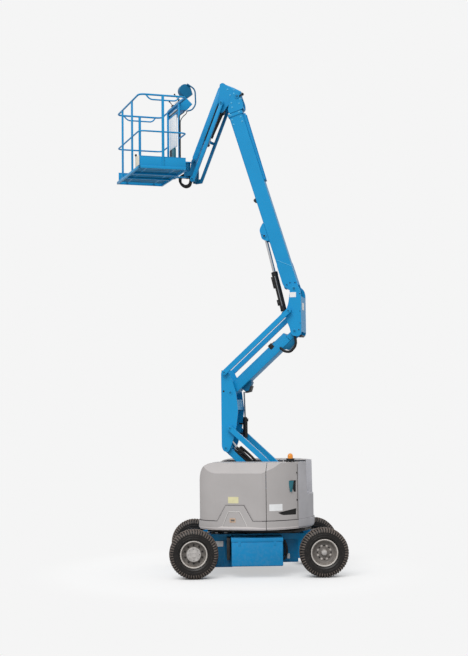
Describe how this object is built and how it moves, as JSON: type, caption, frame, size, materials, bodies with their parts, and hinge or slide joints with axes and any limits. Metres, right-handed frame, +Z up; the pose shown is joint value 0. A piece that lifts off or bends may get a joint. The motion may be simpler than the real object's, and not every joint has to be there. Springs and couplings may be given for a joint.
{
  "type": "articulating boom lift",
  "caption": "Self-propelled articulating boom lift with a slewing turntable, two-stage riser, telescopic boom, jib and a railed work platform",
  "frame": {"origin": "middle of the machine on the ground, under the four tyres", "axes": "+Z up, +X towards the steering axle and the counterweight, +Y to the far side"},
  "size_m": [3.4091, 1.8047, 7.4425],
  "materials": {
    "blue_paint": "gloss enamel",
    "black_steel": "satin black",
    "tyre_rubber": "matt",
    "rim_paint": "satin",
    "steel": "galvanised",
    "grey_casting": "painted casting",
    "amber_lens": "translucent",
    "grey_shell": "moulded, satin",
    "chrome_rod": "polished",
    "dark_blue": "gloss enamel",
    "grey_plastic": "satin"
  },
  "bodies": {
    "chassis": {"chassis_frame": "blue_paint", "battery_box_near": "blue_paint", "battery_box_far": "blue_paint", "slewing_ring": "black_steel"},
    "turntable": {"turntable_base": "blue_paint", "counterweight": "grey_casting", "power_unit": "black_steel", "hydraulic_tank": "black_steel", "beacon_stand": "black_steel", "beacon_lens": "amber_lens", "rear_panel_near": "grey_shell", "rear_panel_far": "grey_shell"},
    "door_near": {"door_near": "grey_shell"},
    "door_far": {"door_far": "grey_shell"},
    "lower_arm": {"lower_arm": "blue_paint", "riser_hoses": "black_steel"},
    "lower_links": {"lower_link_near": "blue_paint", "lower_link_far": "blue_paint"},
    "mid_pivot": {"mid_pivot": "blue_paint", "mid_hose": "black_steel"},
    "upper_arm": {"upper_arm": "blue_paint", "pivot_hose": "black_steel", "boom_rest_pad": "black_steel"},
    "upper_links": {"upper_link_near": "blue_paint", "upper_link_far": "blue_paint"},
    "upper_pivot": {"upper_pivot": "blue_paint"},
    "lift_barrel": {"lift_barrel": "black_steel"},
    "lift_rod": {"lift_rod": "chrome_rod"},
    "primary_boom": {"primary_boom": "blue_paint", "hose_tray": "black_steel", "boom_rest_roller": "black_steel"},
    "boom_barrel": {"boom_barrel": "black_steel"},
    "boom_rod": {"boom_rod": "chrome_rod"},
    "extension_boom": {"extension_boom": "blue_paint"},
    "jib_knuckle": {"jib_knuckle": "dark_blue"},
    "jib_lower_arm": {"jib_lower_arm": "blue_paint"},
    "jib_upper_arm": {"jib_upper_arm": "blue_paint", "jib_hoses": "black_steel"},
    "jib_barrel": {"jib_barrel": "black_steel"},
    "jib_rod": {"jib_rod": "chrome_rod"},
    "platform_mount": {"platform_mount": "dark_blue"},
    "platform": {"platform_frame": "blue_paint", "platform_floor": "steel", "control_console": "grey_plastic", "console_cover": "dark_blue", "console_guard": "blue_paint", "document_box": "grey_plastic"},
    "entry_rail": {"entry_rail": "blue_paint"},
    "wheel_drive_near": {"tyre_drive_near": "tyre_rubber", "rim_drive_near": "rim_paint"},
    "wheel_drive_far": {"tyre_drive_far": "tyre_rubber", "rim_drive_far": "rim_paint"},
    "wheel_steer_near": {"tyre_steer_near": "tyre_rubber", "rim_steer_near": "rim_paint"},
    "wheel_steer_far": {"tyre_steer_far": "tyre_rubber", "rim_steer_far": "rim_paint"},
    "knuckle_near": {"steer_knuckle_near": "black_steel"},
    "knuckle_far": {"steer_knuckle_far": "black_steel"},
    "tie_rod": {"tie_rod": "steel"}
  },
  "joints": [
    {"name": "drive_wheel_near_spin", "type": "hinge", "parent": "chassis", "child": "wheel_drive_near", "pos_m": [-0.531, -0.75, 0.3555], "axis": [0, 1, 0], "continuous": true},
    {"name": "drive_wheel_far_spin", "type": "hinge", "parent": "chassis", "child": "wheel_drive_far", "pos_m": [-0.531, 0.75, 0.3555], "axis": [0, 1, 0], "continuous": true},
    {"name": "steer_near", "type": "hinge", "parent": "chassis", "child": "knuckle_near", "pos_m": [1.349, -0.59, 0.3555], "axis": [0, 0, 1], "range_deg": [-35, 35]},
    {"name": "steer_wheel_near_spin", "type": "hinge", "parent": "knuckle_near", "child": "wheel_steer_near", "pos_m": [1.349, -0.75, 0.3555], "axis": [0, 1, 0], "continuous": true},
    {"name": "steer_far", "type": "hinge", "parent": "chassis", "child": "knuckle_far", "pos_m": [1.349, 0.59, 0.3555], "axis": [0, 0, 1], "range_deg": [-35, 35]},
    {"name": "steer_wheel_far_spin", "type": "hinge", "parent": "knuckle_far", "child": "wheel_steer_far", "pos_m": [1.349, 0.75, 0.3555], "axis": [0, 1, 0], "continuous": true},
    {"name": "tie_rod_pivot", "type": "hinge", "parent": "knuckle_near", "child": "tie_rod", "pos_m": [1.199, -0.59, 0.3555], "axis": [0, 0, 1], "range_deg": [-35, 35]},
    {"name": "turntable_swing", "type": "hinge", "parent": "chassis", "child": "turntable", "pos_m": [0.409, 0, 0], "axis": [0, 0, 1], "range_deg": [-164, 191]},
    {"name": "door_near_hinge", "type": "hinge", "parent": "turntable", "child": "door_near", "pos_m": [0.32823, -0.33644, 1.648], "axis": [-0.9724, 0.2334, 0], "range_deg": [0, 75]},
    {"name": "door_far_hinge", "type": "hinge", "parent": "turntable", "child": "door_far", "pos_m": [0.48977, 0.33644, 1.648], "axis": [0.9724, -0.2334, 0], "range_deg": [0, 75]},
    {"name": "riser_lift", "type": "hinge", "parent": "turntable", "child": "lower_arm", "pos_m": [0.97298, -0.1354, 0.934], "axis": [0.2334, 0.9724, 0], "range_deg": [-53.5, 17.5]},
    {"name": "lower_links_lift", "type": "hinge", "parent": "turntable", "child": "lower_links", "pos_m": [1.05076, -0.15407, 1.237], "axis": [0.2334, 0.9724, 0], "range_deg": [-53.5, 17.5]},
    {"name": "mid_pivot_level", "type": "hinge", "parent": "lower_arm", "child": "mid_pivot", "pos_m": [0.01232, 0.09523, 1.83929], "axis": [0.2334, 0.9724, 0], "range_deg": [-17.5, 53.5]},
    {"name": "upper_arm_lift", "type": "hinge", "parent": "mid_pivot", "child": "upper_arm", "pos_m": [0.09011, 0.07656, 2.67429], "axis": [-0.2334, -0.9724, 0], "range_deg": [-53.5, 17.5]},
    {"name": "upper_links_lift", "type": "hinge", "parent": "mid_pivot", "child": "upper_links", "pos_m": [0.01232, 0.09523, 2.97729], "axis": [-0.2334, -0.9724, 0], "range_deg": [-53.5, 17.5]},
    {"name": "upper_pivot_level", "type": "hinge", "parent": "upper_arm", "child": "upper_pivot", "pos_m": [1.05076, -0.15407, 3.57958], "axis": [0.2334, 0.9724, 0], "range_deg": [-53.5, 17.5]},
    {"name": "lift_barrel_pivot", "type": "hinge", "parent": "turntable", "child": "lift_barrel", "pos_m": [0.87574, -0.11205, 0.9], "axis": [0.2334, 0.9724, 0], "range_deg": [-54.23, 17.77]},
    {"name": "lift_rod_slide", "type": "slide", "parent": "lift_barrel", "child": "lift_rod", "axis": [-0.6168, 0.1481, 0.7731], "range_m": [-0.17398, 0.05724]},
    {"name": "boom_lift", "type": "hinge", "parent": "upper_pivot", "child": "primary_boom", "pos_m": [1.05076, -0.15407, 4.21758], "axis": [0.2334, 0.9724, 0], "range_deg": [-76.5, 2]},
    {"name": "boom_barrel_pivot", "type": "hinge", "parent": "upper_pivot", "child": "boom_barrel", "pos_m": [0.87379, -0.11159, 3.85058], "axis": [0.2334, 0.9724, 0], "range_deg": [-67.91, 1.82]},
    {"name": "boom_rod_slide", "type": "slide", "parent": "boom_barrel", "child": "boom_rod", "axis": [-0.2244, 0.0539, 0.973], "range_m": [-0.49469, 0.01342]},
    {"name": "boom_extend", "type": "slide", "parent": "primary_boom", "child": "extension_boom", "axis": [-0.2875, 0.069, 0.9553], "range_m": [0, 1.2]},
    {"name": "jib_level", "type": "hinge", "parent": "extension_boom", "child": "jib_knuckle", "pos_m": [0.2121, 0.04727, 7.21352], "axis": [0.2334, 0.9724, 0], "range_deg": [-2, 76.5]},
    {"name": "jib_lift", "type": "hinge", "parent": "jib_knuckle", "child": "jib_lower_arm", "pos_m": [-0.02516, 0.10423, 7.11952], "axis": [0.2334, 0.9724, 0], "range_deg": [0, 139]},
    {"name": "jib_upper_arm_lift", "type": "hinge", "parent": "jib_knuckle", "child": "jib_upper_arm", "pos_m": [-0.01154, 0.10096, 7.40052], "axis": [0.2334, 0.9724, 0], "range_deg": [0, 139]},
    {"name": "jib_barrel_pivot", "type": "hinge", "parent": "jib_knuckle", "child": "jib_barrel", "pos_m": [-0.03294, 0.1061, 7.00952], "axis": [0.2334, 0.9724, 0], "range_deg": [-0.05, 140.16]},
    {"name": "jib_rod_slide", "type": "slide", "parent": "jib_barrel", "child": "jib_rod", "axis": [-0.4211, 0.1011, -0.9014], "range_m": [-0.0005, 0.20761]},
    {"name": "platform_level", "type": "hinge", "parent": "jib_lower_arm", "child": "platform_mount", "pos_m": [-0.47582, 0.21243, 5.96077], "axis": [0.2334, 0.9724, 0], "range_deg": [-139, 0]},
    {"name": "platform_rotate", "type": "hinge", "parent": "platform_mount", "child": "platform", "pos_m": [-0.58278, 0.23811, 5.98777], "axis": [0, 0, 1], "range_deg": [-120.4, 59.6]},
    {"name": "entry_rail_slide", "type": "slide", "parent": "platform", "child": "entry_rail", "axis": [0, 0, 1], "range_m": [0, 0.4]}
  ],
  "couplings": [
    {"joint": "steer_far", "follows": "steer_near", "ratio": 1},
    {"joint": "tie_rod_pivot", "follows": "steer_near", "ratio": -1},
    {"joint": "lower_links_lift", "follows": "riser_lift", "ratio": 1},
    {"joint": "mid_pivot_level", "follows": "riser_lift", "ratio": -1},
    {"joint": "upper_arm_lift", "follows": "riser_lift", "ratio": 1},
    {"joint": "upper_links_lift", "follows": "riser_lift", "ratio": 1},
    {"joint": "upper_pivot_level", "follows": "riser_lift", "ratio": 1},
    {"joint": "lift_barrel_pivot", "follows": "riser_lift", "ratio": 1.0127},
    {"joint": "lift_rod_slide", "follows": "riser_lift", "m_per_rad": 0.18578},
    {"joint": "boom_barrel_pivot", "follows": "boom_lift", "ratio": 0.887},
    {"joint": "boom_rod_slide", "follows": "boom_lift", "m_per_rad": 0.37013},
    {"joint": "jib_level", "follows": "boom_lift", "ratio": -1},
    {"joint": "jib_upper_arm_lift", "follows": "jib_lift", "ratio": 1},
    {"joint": "jib_barrel_pivot", "follows": "jib_lift", "ratio": 1.008},
    {"joint": "jib_rod_slide", "follows": "jib_lift", "m_per_rad": 0.085371},
    {"joint": "platform_level", "follows": "jib_lift", "ratio": -1}
  ]
}
